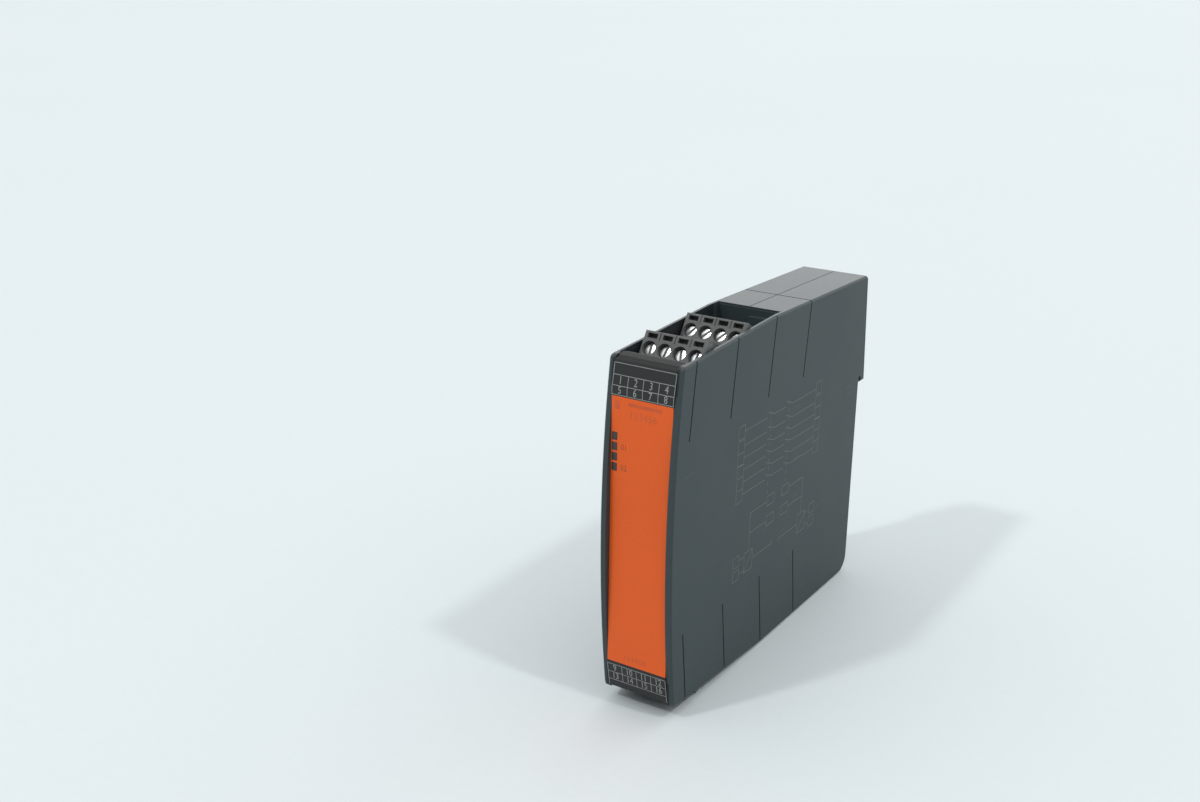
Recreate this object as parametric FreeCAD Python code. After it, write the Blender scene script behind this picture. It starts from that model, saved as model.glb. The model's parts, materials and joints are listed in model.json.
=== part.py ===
import FreeCAD
import Part
import math
import os

# Relay expansion module for a 35 mm rail, millimetres.
# X across the module, Y from the front (negative) to the rail, Z up.
# The module stands on the edges of its lower terminal blocks, and the origin lies there, below its middle.

V = FreeCAD.Vector

# Overall case
width = 22.5
height = 100.0
depth = 121.0
side_wall = 1.3
front_wing = 1.85
case_wall = 1.6
edge_bevel = 0.5

# Rail side
rail_height = 35.0
rail_middle_z = 49.0
rail_flange = 1.0
rail_play = 0.3
hook_reach = 4.4
hook_lean = 2.4
hook_bite = 1.5
hook_slot_head = 0.6
seat_relief = 0.15
foot_round = 5.5
crown_round = 1.3

# Front outline
front_bow = 3.5
front_drop = 1.4
mid_rise = 1.0
front_corner_round = 1.5
panel_back = 1.9
panel_end_lean = 1.4
panel_end_length = 7.4
cover_wall = 2.0
cover_play = 0.1
bar_depth = 3.9
bar_rise = 1.25

# Grooves on the sides
groove_width = 0.5
groove_deep = 0.35
groove_length = 22.2
groove_pitch = 22.35
first_groove = 10.2

# Terminal bays
bay_front = 8.6
bay_long = 50.5
bay_front_wall = 1.35
bay_depth = 20.5
bay_floor = 1.5
plug_lean = 7.5
plug_pitch = 21.8
first_screw = 16.0
block_rise = 1.9

# Plug-in terminal blocks
poles = 4
pole_pitch = 4.67
face_tilt = 35.0
well_r = 2.0
well_to_edge = 4.9
well_to_foot = 2.6
block_deep = 14.5
block_end = 0.6
block_bevel = 0.3
skirt_gap = 0.3
slot_x = 3.0
slot_u = 1.4
slot_deep = 2.5
slot_from_well = 3.5

# Clamp screw and rising cage
head_play = 0.1
head_sunk = 1.3
head_tall = 1.8
head_sides = 24
driver_slot = 0.8
driver_deep = 0.9
shank_r = 1.25
thread_play = 0.05
thread_sides = 8
shoulder = 1.0
cage_travel = 2.5
cage_play = 0.1
cage_wall = 0.6
cage_nut = 1.2
cage_floor = 0.8
cage_long = 4.5
bar_thick = 0.8
bar_half = 1.15
wire_gap = 2.7
funnel_half = 1.6

# Header and pins
pin = 1.0
pin_up = 6.4
socket_play = 0.05
socket_wall = 0.6
socket_room = 0.15
header_tall = 4.0
header_long = 8.0
header_play = 0.15
leg = 0.8
leg_step = 1.4
leg_drop = 1.6

# Board and parts on it
board = 1.6
board_gap = 0.65
board_edge_gap = 0.4
board_front_gap = 0.5
board_rear_gap = 8.5
tongue_gap = 0.6
tongue_rear_gap = 0.45
tongue_rise = 7.1
tongue_foot = 5.1
tongue_neck = 3.0
pad_half = 2.0
pad_inset = 4.0
pad_front = 11.4
pad_rear = 6.0
part_gap = 1.5
relay_long = 53.0
relay_tall = 15.7
relay_wide = 14.0
relay_apart = 4.0
relay_foot = 1.2
relay_step = 0.4
relay_leg_gap = 0.8
cap_r = 4.0
cap_tall = 12.5
rectifier_long = 4.5
rectifier_wide = 2.6
rectifier_tall = 2.2
rectifier_pitch = 8.0
resistor_long = 3.2
resistor_wide = 1.6
resistor_tall = 0.6
resistor_pitch = 4.0
resistor_drop = 10.0
fuse_thick = 3.0
fuse_wide = 8.0
fuse_tall = 7.5
fuse_rise = 2.0

# Lights
light_x = -8.2
light_drop = 27.3
light_pitch = 2.88
light_wide = 1.6
light_high = 2.2
light_play = 0.05
light_deep = 1.85
light_tall = 1.6
light_body = 1.2
guide_web = 0.3
guide_lip = 0.8
guide_edge = 0.1
label_thick = 0.2
label_low = 10.9
label_drop = 11.9

# Snap pegs between the half shells
snap_half = 1.4
snap_play = 0.05
snap_long = 2.5
snap_boss = 2.6
snap_edge = 12.0
snap_from_bay = 13.4
snap_from_rail = 10.1
snap_from_latch = 16.1

# Rail latch and spring
latch_half = 4.0
latch_flange = 1.5
latch_flange_thick = 1.6
latch_stem = 3.0
latch_play = 0.15
latch_travel = 3.0
latch_low = 5.0
latch_tooth = 1.5
latch_nose = 4.2
channel_wall = 1.5
spring_r = 1.1
spring_wire = 0.25
spring_turns = 6
spring_steps = 8
spring_seat_z = 3.8
spring_long = 13.0

# Values that follow from those above
half_w = width / 2.0
inner_half = half_w - side_wall
wing_inner = half_w - front_wing
y_front = -depth / 2.0
y_rail = depth / 2.0 - hook_reach
y_hook = depth / 2.0
y_crown = y_hook - hook_lean
y_corner = y_front + front_bow
first_groove_y = y_front + first_groove
bay_front_y = y_front + bay_front
bay_rear_y = bay_front_y + bay_long
y_kink = first_groove_y + 2.0 * groove_pitch
z_corner = height - front_drop
bay_floor_z = height - bay_depth
rail_top = rail_middle_z + rail_height / 2.0
rail_bottom = rail_middle_z - rail_height / 2.0
tooth_z = rail_top - hook_bite
lean_tan = math.tan(math.radians(plug_lean))
tilt = math.radians(face_tilt)
e_up = (math.sin(tilt), math.cos(tilt))
e_out = (-math.cos(tilt), math.sin(tilt))
screw_z = height + block_rise - well_to_edge * e_up[1]
screw_ys = [y_front + first_screw, y_front + first_screw + plug_pitch]
pole_x = [(i - (poles - 1) / 2.0) * pole_pitch for i in range(poles)]
block_half = pole_x[-1] + well_r + block_end
stand = block_rise - block_bevel * e_out[1]
skirt_z = bay_floor_z + skirt_gap

# Depths along a screw, measured inwards from the screw face
head_top = head_sunk
head_low = head_top + head_tall
shoulder_top = head_low + head_play
chamber_top = shoulder_top + shoulder
nut_top = chamber_top + cage_play + cage_travel
nut_low = nut_top + cage_nut
bar_top = nut_low + bar_thick
bar_low = bar_top + bar_thick
jaw_top = bar_low + wire_gap
jaw_low = jaw_top + cage_floor
chamber_low = jaw_low + 2.0 * cage_play
shank_low = bar_top - 0.4
cage_half = bar_half + cage_play + cage_wall
chamber_half = cage_half + cage_play
chamber_u = cage_long / 2.0 + cage_play
thread_hole_r = (shank_r + thread_play) / math.cos(math.pi / thread_sides)

# Cover
panel_y = y_front + panel_back
panel_end_y = panel_y + panel_end_lean
cover_half = wing_inner - cover_play
bay_wall_front = bay_front_y - bay_front_wall
cover_rear_y = bay_wall_front - cover_play
bar_low_z = z_corner - 1.0
label_high = height - label_drop
light_z = height - light_drop

# Board
board_x0 = -inner_half + board_gap
board_x1 = board_x0 + board
header_low_z = bay_floor_z - header_tall
board_top = header_low_z - board_edge_gap
board_low = height - board_top
board_front_y = bay_front_y + board_front_gap
board_rear_y = y_rail - case_wall - board_rear_gap
tongue_front_y = panel_y + cover_wall + tongue_gap
tongue_rear_y = bay_wall_front - tongue_rear_gap
tongue_top = light_z + tongue_rise
tongue_low = board_low + tongue_foot
rectifier_y = board_front_y + part_gap
cap_y = rectifier_y + rectifier_long + part_gap + cap_r
tail_y = cap_y + cap_r + part_gap

# Latch
latch_shelf_z = rail_bottom - 0.1
latch_flange_low = latch_low + 2.0
latch_flange_top = latch_shelf_z - 5.3
stem_y = y_rail - latch_stem
flange_y = stem_y - latch_flange_thick


def box(x0, x1, y0, y1, z0, z1):
    return Part.makeBox(x1 - x0, y1 - y0, z1 - z0, V(x0, y0, z0))


def prism(points, x0, x1):
    """Push a YZ outline along X."""
    corners = [V(x0, y, z) for y, z in points]
    outline = Part.makePolygon(corners + [corners[0]])
    return Part.Face(outline).extrude(V(x1 - x0, 0, 0))


def flip(shape):
    """Mirror a top piece to the bottom of the module."""
    return shape.mirror(V(0, 0, height / 2.0), V(0, 0, 1))


def both(shape):
    return shape.fuse(flip(shape))


def round_edges(shape, places, radius):
    """Round the edges along X that pass through the given YZ places."""
    found = []
    for edge in shape.Edges:
        a = edge.Vertexes[0].Point
        b = edge.Vertexes[-1].Point
        along = abs(a.x - b.x) > 1.0 and abs(a.y - b.y) < 0.01 and abs(a.z - b.z) < 0.01
        if along and any(abs(a.y - y) < 0.02 and abs(a.z - z) < 0.02 for y, z in places):
            found.append(edge)
    return shape.makeFillet(radius, found)


def top_z(y):
    """Height of the case's top behind its ridge; it falls evenly to the crown."""
    return height + mid_rise * (y_crown - y) / (y_crown - y_kink)


def case_body():
    """Outer half shell before it is hollowed: rail hook, sloped ends and bowed front."""
    low = [(y_corner, front_drop), (y_kink, -mid_rise), (y_rail, 0.0), (y_rail, tooth_z), (y_hook, tooth_z),
           (y_crown, height), (y_kink, height + mid_rise), (y_corner, z_corner)]
    edges = [Part.makeLine(V(0, *low[i]), V(0, *low[i + 1])) for i in range(len(low) - 1)]
    half_chord = height / 2.0 - front_drop
    bow_r = (half_chord ** 2 + front_bow ** 2) / (2.0 * front_bow)
    half_turn = math.asin(half_chord / bow_r) / 2.0
    bow_y = y_front + bow_r * (1.0 - math.cos(half_turn))
    bow_z = bow_r * math.sin(half_turn)
    apex = V(0, y_front, height / 2.0)
    upper_bow = Part.Arc(V(0, *low[-1]), V(0, bow_y, height / 2.0 + bow_z), apex)
    lower_bow = Part.Arc(apex, V(0, bow_y, height / 2.0 - bow_z), V(0, *low[0]))
    edges.append(upper_bow.toShape())
    edges.append(lower_bow.toShape())
    body = Part.Face(Part.Wire(edges)).extrude(V(half_w, 0, 0))
    body = round_edges(body, [(y_rail, 0.0)], foot_round)
    body = round_edges(body, [(y_crown, height)], crown_round)
    body = round_edges(body, [(y_corner, front_drop), (y_corner, z_corner)], front_corner_round)
    rim = [e for e in body.Edges if all(abs(v.Point.x - half_w) < 0.001 for v in e.Vertexes)]
    return body.makeChamfer(edge_bevel, rim)


def leaning_box(x0, x1, y_at_top, wide, z0, z1):
    """Box that leans with the plugs; its given Y is met at the case's top."""
    shift0 = (z0 - height) * lean_tan
    shift1 = (z1 - height) * lean_tan
    points = [(y_at_top + shift0 - wide / 2.0, z0), (y_at_top + shift0 + wide / 2.0, z0),
              (y_at_top + shift1 + wide / 2.0, z1), (y_at_top + shift1 - wide / 2.0, z1)]
    return prism(points, x0, x1)


def case_half():
    """Right half shell: hollow, with bays, grooves, rail hook slot and latch channel."""
    body = case_body()
    clear = 2.0 * depth
    # front zone between the wings, open for the cover
    body = body.cut(box(-1, wing_inner, -clear, bay_wall_front, -clear, clear))
    # space for the board and relays
    body = body.cut(box(-1, inner_half, bay_wall_front - 1, y_rail - case_wall,
                        height - bay_floor_z + bay_floor, bay_floor_z - bay_floor))
    # closed top and bottom blocks behind the bays
    block_front = bay_rear_y + case_wall
    body = body.cut(box(-1, inner_half, block_front, y_rail - case_wall, height / 2.0, height - case_wall))
    body = body.cut(box(-1, inner_half, block_front, flange_y - 2.0 * channel_wall, case_wall, height / 2.0))
    # terminal bays, open outwards, with a notch for each header
    body = body.cut(both(box(-1, inner_half, bay_front_y, bay_rear_y, bay_floor_z, clear)))
    body = body.cut(both(box(-1, inner_half, bay_wall_front - 1, bay_front_y + 1, z_corner - 0.2, clear)))
    for y in screw_ys:
        y_pin = pin_y(y, bay_floor_z)
        room = header_long / 2.0 + header_play
        body = body.cut(both(box(-1, block_half, y_pin - room, y_pin + room,
                                 bay_floor_z - bay_floor - 1, bay_floor_z + 1)))
    # leaning grooves on the side
    for i in range(4):
        y = first_groove_y + i * groove_pitch
        cut = leaning_box(half_w - groove_deep, half_w + 1, y, groove_width,
                          height - groove_length, height + mid_rise + 1)
        body = body.cut(both(cut))
    # fourth groove runs on across the closed block, and a step line follows the bay's lip
    y4 = first_groove_y + 3 * groove_pitch
    body = body.cut(both(box(-1, half_w + 1, y4 - groove_width / 2.0, y4 + groove_width / 2.0,
                             top_z(y4) - groove_deep, top_z(y4) + 1)))
    lip_z = top_z(bay_rear_y)
    body = body.cut(both(box(-1, inner_half, bay_rear_y - 1, bay_rear_y + 0.55, lip_z - 0.6, lip_z + 1)))
    # parting line along the middle of the closed blocks
    line = [(bay_rear_y, lip_z - 0.2), (y_rail, top_z(y_rail) - 0.2), (y_rail, lip_z + 1),
            (bay_rear_y, lip_z + 1)]
    body = body.cut(both(prism(line, -1, 0.12)))
    # rail slot behind the hook's tooth
    body = body.cut(box(-1, half_w + 1, y_rail - seat_relief, y_rail + rail_flange + rail_play,
                        tooth_z - seat_relief, rail_top + hook_slot_head))
    # latch channel
    channel_half = latch_half + latch_flange + latch_play + channel_wall
    channel = box(0, channel_half, flange_y - latch_play - channel_wall, y_rail - 0.5, case_wall / 2.0,
                  latch_shelf_z + 5.0)
    body = body.fuse(channel.common(case_body()))
    body = body.cut(box(-1, latch_half + latch_play, stem_y - latch_play, clear, -clear, latch_shelf_z + 2.5))
    body = body.cut(box(-1, latch_half + latch_flange + latch_play, flange_y - latch_play,
                        stem_y + latch_play, spring_seat_z, latch_flange_top + latch_play))
    return body


def snap_places():
    front = bay_rear_y + snap_from_bay
    high = height - snap_edge
    return [(front, high), (y_rail - snap_from_rail, high),
            (front, snap_edge), (y_rail - snap_from_latch, snap_edge)]


def snap_peg(y, z, half, x0, x1):
    return box(x0, x1, y - half, y + half, z - half, z + half)


def case_right():
    body = case_half()
    for y, z in snap_places():
        body = body.fuse(snap_peg(y, z, snap_half, -snap_long, inner_half + 0.1))
    # ledge on the bays' rear wall
    ledge = box(0.7, inner_half + 0.1, bay_rear_y - 1.4, bay_rear_y + 0.1, height - 7.0, height - 1.6)
    body = body.fuse(both(ledge))
    return add_cover_pockets(body)


def case_left():
    body = case_half()
    for y, z in snap_places():
        body = body.fuse(snap_peg(y, z, snap_boss, 0.5, inner_half + 0.1))
        body = body.cut(snap_peg(y, z, snap_half + snap_play, -1, snap_long + 0.5))
    # pads that carry the board
    for y in (board_front_y + pad_front, board_rear_y - pad_rear):
        for z in (board_low + pad_inset, board_top - pad_inset):
            body = body.fuse(box(-board_x0, inner_half + 0.1, y - pad_half, y + pad_half,
                                 z - pad_half, z + pad_half))
    body = add_cover_pockets(body)
    return body.mirror(V(0, 0, 0), V(1, 0, 0))


def catch_ranges():
    return [(17.0, 23.0), (height - 16.0, height - 11.0)]


def add_cover_pockets(body):
    """Pockets in the wings that hold the cover's catches."""
    for z0, z1 in catch_ranges():
        body = body.cut(box(wing_inner - 0.1, wing_inner + 0.6, panel_y + cover_wall + 0.2,
                            panel_y + cover_wall + 2.2, z0 - 0.2, z1 + 0.2))
    return body


def front_cover():
    """Panel with leaning ends, bevelled bars, window holes and side catches."""
    mid = height / 2.0
    top = [(panel_y, mid), (panel_y, bar_low_z - panel_end_length),
           (panel_end_y, bar_low_z), (panel_end_y + 0.7, bar_low_z + 0.45),
           (panel_end_y + 0.95, bar_low_z + 0.25), (panel_end_y + 1.6, bar_low_z + 0.8),
           (cover_rear_y, bar_low_z + bar_rise), (cover_rear_y, bar_low_z - 1.0),
           (panel_end_y + cover_wall, bar_low_z - 1.4),
           (panel_y + cover_wall, bar_low_z - panel_end_length), (panel_y + cover_wall, mid)]
    half = prism(top, -cover_half, cover_half)
    body = half.fuse(flip(half)).removeSplitter()
    # label recess and light windows
    body = body.cut(box(-cover_half - 1, cover_half + 1, panel_y - 1, panel_y + label_thick,
                        label_low, label_high))
    for x0, x1, z0, z1 in light_ranges(light_play):
        body = body.cut(box(x0, x1, panel_y - 1, panel_y + cover_wall + 1, z0, z1))
    # catches
    back = panel_y + cover_wall
    for z0, z1 in catch_ranges():
        for side in (-1, 1):
            xs = sorted((side * (cover_half - 1.0), side * cover_half))
            bump = sorted((side * (cover_half - 0.5), side * (cover_half + 0.5)))
            body = body.fuse(box(xs[0], xs[1], back - 0.2, back + 2.4, z0, z1))
            body = body.fuse(box(bump[0], bump[1], back + 0.6, back + 1.8, z0, z1))
    return body


def light_ranges(play):
    out = []
    for i in range(4):
        z = light_z + (1.5 - i) * light_pitch
        out.append((light_x - light_wide / 2.0 - play, light_x + light_wide / 2.0 + play,
                    z - light_high / 2.0 - play, z + light_high / 2.0 + play))
    return out


def front_label():
    sheet = box(-cover_half, cover_half, panel_y, panel_y + label_thick, label_low, label_high)
    for x0, x1, z0, z1 in light_ranges(light_play):
        sheet = sheet.cut(box(x0, x1, panel_y - 1, panel_y + 1, z0, z1))
    return sheet


def light_guide():
    """Four windows on one thin web behind the cover."""
    back = panel_y + cover_wall
    ranges = light_ranges(0.0)
    body = box(ranges[0][0] - guide_edge, ranges[0][1] + guide_lip, back, back + guide_web,
               ranges[-1][2] - guide_lip, ranges[0][3] + guide_lip)
    for x0, x1, z0, z1 in ranges:
        body = body.fuse(box(x0, x1, panel_y, back + 0.1, z0, z1))
    return body


def lights():
    """Four side-looking indicator lights on the board's tongue."""
    back = panel_y + cover_wall + guide_web + light_play
    parts = []
    for x0, x1, z0, z1 in light_ranges(0.0):
        z = (z0 + z1) / 2.0
        parts.append(box(board_x1, board_x1 + light_body, back, back + light_deep,
                         z - light_tall / 2.0, z + light_tall / 2.0))
    return Part.Compound(parts)


def face_place(y_screw, u, v):
    """Point of a block from its place along the screw face and outwards from it."""
    return (y_screw + u * e_up[0] + v * e_out[0], screw_z + u * e_up[1] + v * e_out[1])


def face_box(y_screw, x0, x1, u0, u1, d0, d1):
    """Box set square to the screw face; depths run inwards."""
    points = [face_place(y_screw, u0, -d0), face_place(y_screw, u1, -d0),
              face_place(y_screw, u1, -d1), face_place(y_screw, u0, -d1)]
    return prism(points, x0, x1)


def face_rod(y_screw, x, r, d0, d1):
    y, z = face_place(y_screw, 0.0, -d0)
    return Part.makeCylinder(r, d1 - d0, V(x, y, z), V(0, -e_out[0], -e_out[1]))


def sided_rod(y_screw, x, r, d0, d1, sides):
    """Rod square to the screw face with flat sides; its corners lie at the given radius."""
    corners = []
    for k in range(sides):
        turn = 2.0 * math.pi / sides * (k + 0.5)
        y, z = face_place(y_screw, r * math.sin(turn), -d0)
        corners.append(V(x + r * math.cos(turn), y, z))
    outline = Part.makePolygon(corners + [corners[0]])
    return Part.Face(outline).extrude(V(0, -e_out[0] * (d1 - d0), -e_out[1] * (d1 - d0)))


def bar_foot(y_screw):
    """Place where a contact bar meets its socket."""
    return face_place(y_screw, -chamber_u - 2.0, -(bar_top + bar_low) / 2.0)


def pin_y(y_screw, z):
    """Y of the leaning pin axis at a height."""
    y, z_foot = bar_foot(y_screw)
    return y + (z - z_foot) * lean_tan


def pin_box(y_screw, x, half, z0, z1):
    """Square rod along the plug's leaning axis."""
    y0 = pin_y(y_screw, z0)
    y1 = pin_y(y_screw, z1)
    points = [(y0 - half, z0), (y0 + half, z0), (y1 + half, z1), (y1 - half, z1)]
    return prism(points, x - half, x + half)


def plug_block(y_screw):
    """Terminal block: tilted screw face, wire face behind it and a skirt over the pins."""
    top = face_place(y_screw, well_to_edge, 0.0)
    foot = face_place(y_screw, -well_to_foot, 0.0)
    rear = face_place(y_screw, well_to_edge, -block_deep)
    rear_low = face_place(y_screw, -well_to_foot, -block_deep)
    socket_half = pin / 2.0 + socket_play + socket_wall + socket_room
    skirt_front = (foot[0] - (foot[1] - skirt_z) * lean_tan, skirt_z)
    skirt_rear_y = pin_y(y_screw, skirt_z) + socket_half + 2.4
    knee_z = rear_low[1] - 0.4
    knee = (skirt_rear_y + (knee_z - skirt_z) * lean_tan, knee_z)
    outline = [top, foot, skirt_front, (skirt_rear_y, skirt_z), knee, rear_low, rear]
    body = prism(outline, -block_half, block_half)
    # bevel all round the screw face
    face_v = foot[0] * e_out[0] + foot[1] * e_out[1]
    rim = [edge for edge in body.Edges
           if all(abs(p.Y * e_out[0] + p.Z * e_out[1] - face_v) < 0.001 for p in edge.Vertexes)]
    body = body.makeChamfer(block_bevel, rim)
    for x in pole_x:
        body = body.cut(face_rod(y_screw, x, well_r, -1.0, shoulder_top))
        body = body.cut(sided_rod(y_screw, x, thread_hole_r, shoulder_top - 0.1, chamber_top + 0.1,
                                  thread_sides))
        body = body.cut(face_box(y_screw, x - chamber_half, x + chamber_half, -chamber_u, chamber_u,
                                 chamber_top, chamber_low))
        body = body.cut(face_box(y_screw, x - funnel_half, x + funnel_half, chamber_u - 0.1, well_to_edge + 1,
                                 bar_low + 0.1, jaw_top - 0.1))
        body = body.cut(face_box(y_screw, x - slot_x / 2.0, x + slot_x / 2.0, slot_from_well - slot_u / 2.0,
                                 slot_from_well + slot_u / 2.0, -1.0, slot_deep))
        bar_room = bar_half + socket_room
        body = body.cut(face_box(y_screw, x - bar_room, x + bar_room, -chamber_u - 2.6, -chamber_u + 0.1,
                                 bar_top - socket_room, bar_low + socket_room))
        body = body.cut(pin_box(y_screw, x, socket_half, skirt_z - 1,
                                bar_foot(y_screw)[1] + 0.6 + socket_room))
    # shallow groove between neighbouring poles on the screw face
    for i in range(poles - 1):
        x = (pole_x[i] + pole_x[i + 1]) / 2.0
        body = body.cut(face_box(y_screw, x - 0.12, x + 0.12, slot_from_well - 1.2, well_to_edge + 1,
                                 -1.0, 0.35))
    return body


def clamp_screw(y_screw, x, turn):
    """Slotted screw: flat head and a shank whose corners lie on the thread's crests."""
    body = sided_rod(y_screw, x, well_r - head_play, head_top, head_low, head_sides)
    body = body.fuse(sided_rod(y_screw, x, shank_r, head_low - 0.1, shank_low, thread_sides))
    y, z = face_place(y_screw, 0.0, 0.0)
    cut = face_box(y_screw, x - driver_slot / 2.0, x + driver_slot / 2.0, -well_r - 1, well_r + 1,
                   head_top - 1, head_top + driver_deep)
    cut.rotate(V(x, y, z), V(0, e_out[0], e_out[1]), turn)
    return body.cut(cut)


def clamp_cage(y_screw, x):
    """Rising cage: nut wall with a hole for the screw, two sides and a jaw."""
    body = face_box(y_screw, x - cage_half, x + cage_half, -cage_long / 2.0, cage_long / 2.0,
                    nut_top, jaw_low)
    window = face_box(y_screw, x - cage_half + cage_wall, x + cage_half - cage_wall, -cage_long, cage_long,
                      nut_low, jaw_top)
    body = body.cut(window)
    return body.cut(sided_rod(y_screw, x, thread_hole_r, nut_top - 1, nut_low, thread_sides))


def plug_contacts(y_screw):
    """Bar through each cage joined to a square socket for the header pin."""
    parts = []
    foot_z = bar_foot(y_screw)[1]
    for x in pole_x:
        bar = face_box(y_screw, x - bar_half, x + bar_half, -chamber_u - 2.2, chamber_u - 0.4,
                       bar_top, bar_low)
        half = pin / 2.0 + socket_play + socket_wall
        socket = pin_box(y_screw, x, half, skirt_z + 0.4, foot_z + 0.6)
        socket = socket.cut(pin_box(y_screw, x, pin / 2.0 + socket_play, skirt_z, bay_floor_z + pin_up + 0.3))
        parts.append(bar.fuse(socket))
    return Part.Compound(parts)


def header_pins(y_screw):
    """Pins that lean with the plug, each bent to its own level on the board."""
    parts = []
    for i, x in enumerate(pole_x):
        z_leg = board_top - leg_drop - i * leg_step
        up = pin_box(y_screw, x, pin / 2.0, header_low_z, bay_floor_z + pin_up)
        y = pin_y(y_screw, header_low_z)
        drop = box(x - leg / 2.0, x + leg / 2.0, y - leg / 2.0, y + leg / 2.0,
                   z_leg - leg / 2.0, header_low_z + 0.2)
        across = box(board_x0 + 0.2, x + leg / 2.0, y - leg / 2.0, y + leg / 2.0,
                     z_leg - leg / 2.0, z_leg + leg / 2.0)
        parts.append(up.fuse(drop).fuse(across).removeSplitter())
    return parts


def header_base(y_screw, pins):
    y = pin_y(y_screw, bay_floor_z)
    half_y = header_long / 2.0
    base = box(-block_half + header_play, block_half - header_play, y - half_y, y + half_y,
               header_low_z, bay_floor_z)
    for one in pins:
        base = base.cut(one)
    return base


def main_board(pins):
    """Board with a front tongue for the lights; the pins' legs pass into it."""
    neck = board_top - tongue_neck
    outline = [(board_front_y, board_low), (board_rear_y, board_low), (board_rear_y, board_top),
               (board_front_y, board_top), (board_front_y, neck), (tongue_rear_y, neck),
               (tongue_rear_y, tongue_top), (tongue_front_y, tongue_top), (tongue_front_y, tongue_low),
               (board_front_y, tongue_low)]
    plate = prism(outline, board_x0, board_x1)
    for one in pins:
        plate = plate.cut(one)
    return plate


def relay(z):
    """Sealed relay can on the board's face behind the rear pins' legs, stepped in at its foot."""
    y0 = pin_y(screw_ys[1], header_low_z) + leg / 2.0 + relay_leg_gap
    y1 = y0 + relay_long
    can = box(board_x1 + relay_foot, board_x1 + relay_tall, y0, y1, z, z + relay_wide)
    foot = box(board_x1, board_x1 + relay_foot, y0 + relay_step, y1 - relay_step,
               z + relay_step, z + relay_wide - relay_step)
    return can.fuse(foot)


def capacitor():
    return Part.makeCylinder(cap_r, cap_tall, V(board_x1, cap_y, height / 2.0), V(1, 0, 0))


def small_parts():
    """Rectifiers, resistors and a resettable fuse on the board."""
    mid = height / 2.0
    parts = []
    for i in range(4):
        z = mid + (i - 1.5) * rectifier_pitch
        parts.append(box(board_x1, board_x1 + rectifier_tall, rectifier_y, rectifier_y + rectifier_long,
                         z - rectifier_wide / 2.0, z + rectifier_wide / 2.0))
    for i in range(3):
        z = mid - resistor_drop + (i - 1) * resistor_pitch
        parts.append(box(board_x1, board_x1 + resistor_tall, tail_y, tail_y + resistor_long,
                         z - resistor_wide / 2.0, z + resistor_wide / 2.0))
    parts.append(box(board_x1, board_x1 + fuse_tall, tail_y, tail_y + fuse_thick, mid + fuse_rise,
                     mid + fuse_rise + fuse_wide))
    return Part.Compound(parts)


def rail_latch():
    """Sliding foot: wide flange in the channel, stem, nose with tooth, spring pocket and driver slot."""
    body = box(-latch_half - latch_flange, latch_half + latch_flange, flange_y, stem_y, latch_flange_low,
               latch_flange_top)
    body = body.fuse(box(-latch_half, latch_half, stem_y - 0.1, y_rail, latch_low, latch_shelf_z))
    y_tooth = y_rail + rail_flange + rail_play
    nose = [(y_rail - 0.1, latch_shelf_z - latch_nose), (y_rail + 0.6, latch_shelf_z - latch_nose),
            (y_tooth + latch_tooth, latch_shelf_z - 1.6), (y_tooth + latch_tooth, latch_shelf_z),
            (y_tooth + 0.5, latch_shelf_z + latch_tooth), (y_tooth, latch_shelf_z + latch_tooth),
            (y_tooth, latch_shelf_z), (y_rail - 0.1, latch_shelf_z)]
    body = body.fuse(prism(nose, -latch_half, latch_half))
    room = spring_r + spring_wire + 0.3
    body = body.cut(box(-room, room, flange_y - 1, spring_y() + room, latch_low - 1,
                        spring_seat_z + spring_long + 0.2))
    body = body.cut(box(-2.2, 2.2, y_rail - 1.2, y_rail + 1, latch_low + 1.2, latch_low + 3.8))
    return body.removeSplitter()


def spring_y():
    return flange_y + spring_r + spring_wire + 0.1


def latch_spring():
    """Coil of square wire, each turn drawn in straight steps."""
    steps = spring_turns * spring_steps
    rise = (spring_long - 2.0 * spring_wire) / steps
    corners = [(-1, -1), (1, -1), (1, 1), (-1, 1)]
    rings = []
    for k in range(steps + 1):
        turn = 2.0 * math.pi * k / spring_steps
        z = spring_seat_z + spring_wire + k * rise
        ring = []
        for out, up in corners:
            r = spring_r + out * spring_wire
            ring.append(V(r * math.cos(turn), spring_y() + r * math.sin(turn), z + up * spring_wire))
        rings.append(ring)
    loops = [rings[0], rings[-1]]
    for low, high in zip(rings, rings[1:]):
        for j in range(4):
            nxt = (j + 1) % 4
            loops.append([low[j], low[nxt], high[nxt]])
            loops.append([low[j], high[nxt], high[j]])
    faces = [Part.Face(Part.makePolygon(loop + [loop[0]])) for loop in loops]
    coil = Part.makeSolid(Part.makeShell(faces))
    return coil if coil.Volume > 0 else coil.reversed()


def save(shape, name):
    """Lift a piece onto the standing surface and write it."""
    lifted = shape.copy()
    lifted.translate(V(0, 0, stand))
    lifted.exportStep("parts/" + name + ".step")


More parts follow.
